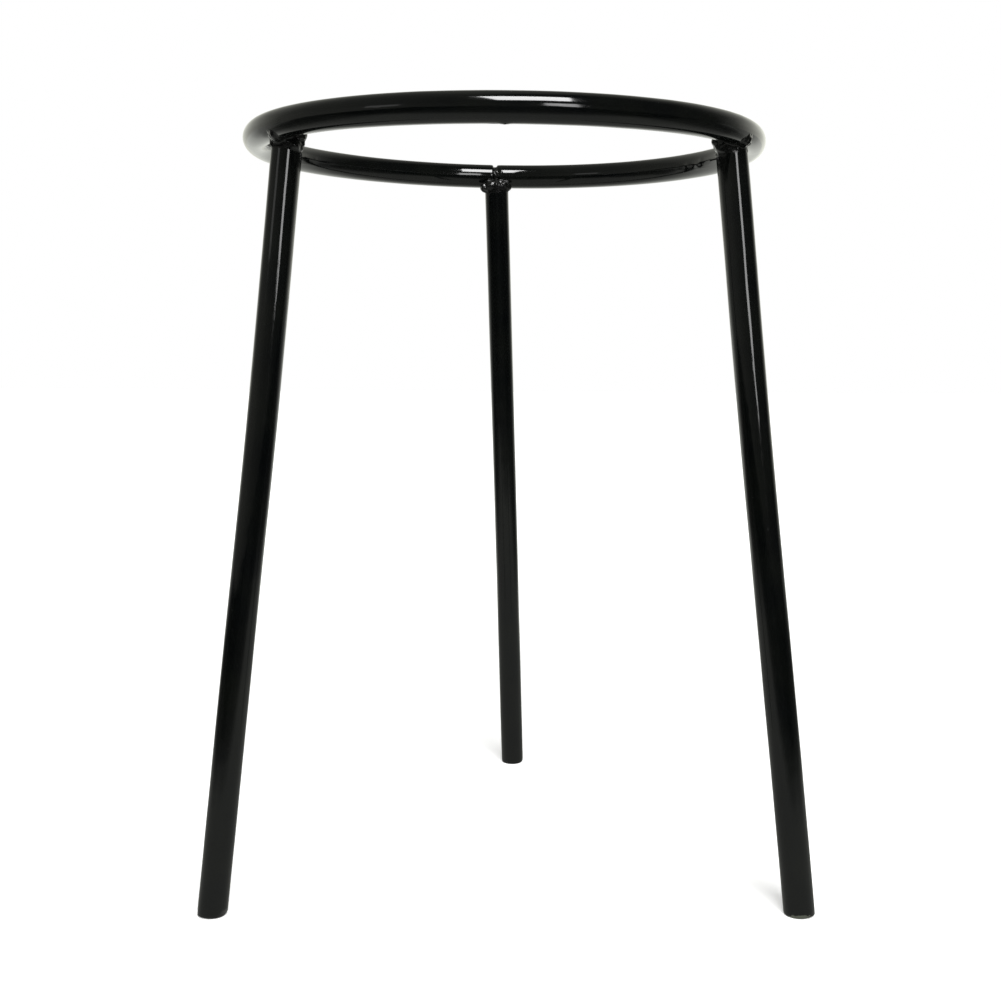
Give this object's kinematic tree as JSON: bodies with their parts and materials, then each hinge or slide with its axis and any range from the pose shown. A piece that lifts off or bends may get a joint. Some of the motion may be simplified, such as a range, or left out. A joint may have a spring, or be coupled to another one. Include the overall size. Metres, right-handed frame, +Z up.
{
  "type": "laboratory tripod stand",
  "caption": "Round-bar ring on splayed welded legs that holds a dish, a beaker or a gauze above a burner.",
  "frame": {"origin": "on the bench, at the middle of the stand's own box; the ring's axis stands 6.6 mm in front of it, at y = -0.0066, because the rear foot reaches further than the ring", "axes": "+Z up through the ring, +Y towards the rear leg, +X to the right seen from the front"},
  "size_m": [0.1136, 0.1131, 0.145],
  "materials": {
    "black_enamel": "thick gloss black enamel with runs, orange peel and small blisters",
    "weld_enamel": "the same gloss enamel over lumpy weld beads, with slag specks"
  },
  "bodies": {
    "root": {"ring": "black_enamel", "left_leg": "black_enamel", "right_leg": "black_enamel", "rear_leg": "black_enamel", "left_weld": "weld_enamel", "right_weld": "weld_enamel", "rear_weld": "weld_enamel"}
  },
  "joints": []
}
